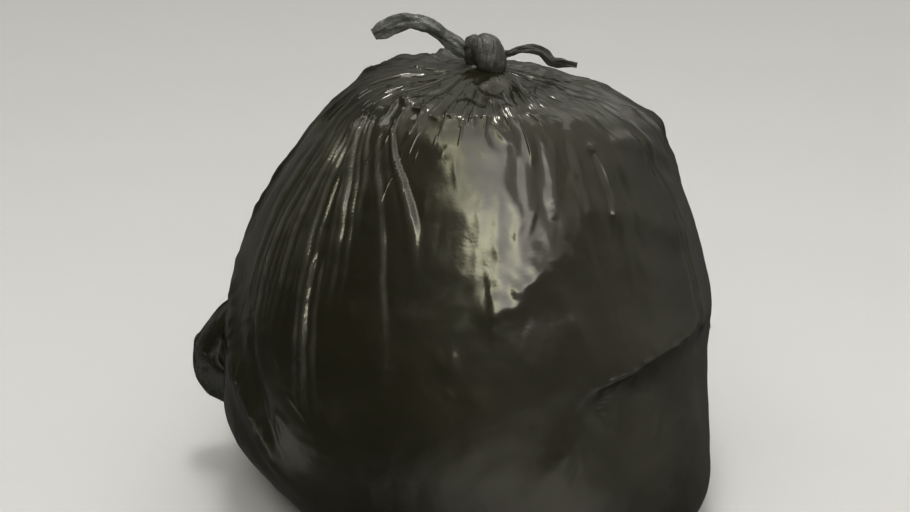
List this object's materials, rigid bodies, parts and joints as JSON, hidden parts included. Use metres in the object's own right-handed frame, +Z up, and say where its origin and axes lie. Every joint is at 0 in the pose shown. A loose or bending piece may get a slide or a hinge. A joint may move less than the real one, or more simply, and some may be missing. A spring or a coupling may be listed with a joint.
{
  "type": "full bin bag",
  "caption": "Full dark bin bag of thin film, gathered in pleats under its knotted mouth corners, with slack folds and a corner of the bottom seam standing out.",
  "frame": {"origin": "on the floor, under the middle of the whole object's box", "axes": "+Z up; the bag's front faces -Y and its tied tails point to +X and -X"},
  "size_m": [0.5156, 0.4282, 0.4817],
  "materials": {
    "film": "thin olive-black film, creased and softly glossy, with light dust"
  },
  "bodies": {
    "root": {"bin_bag": "film"}
  },
  "joints": []
}
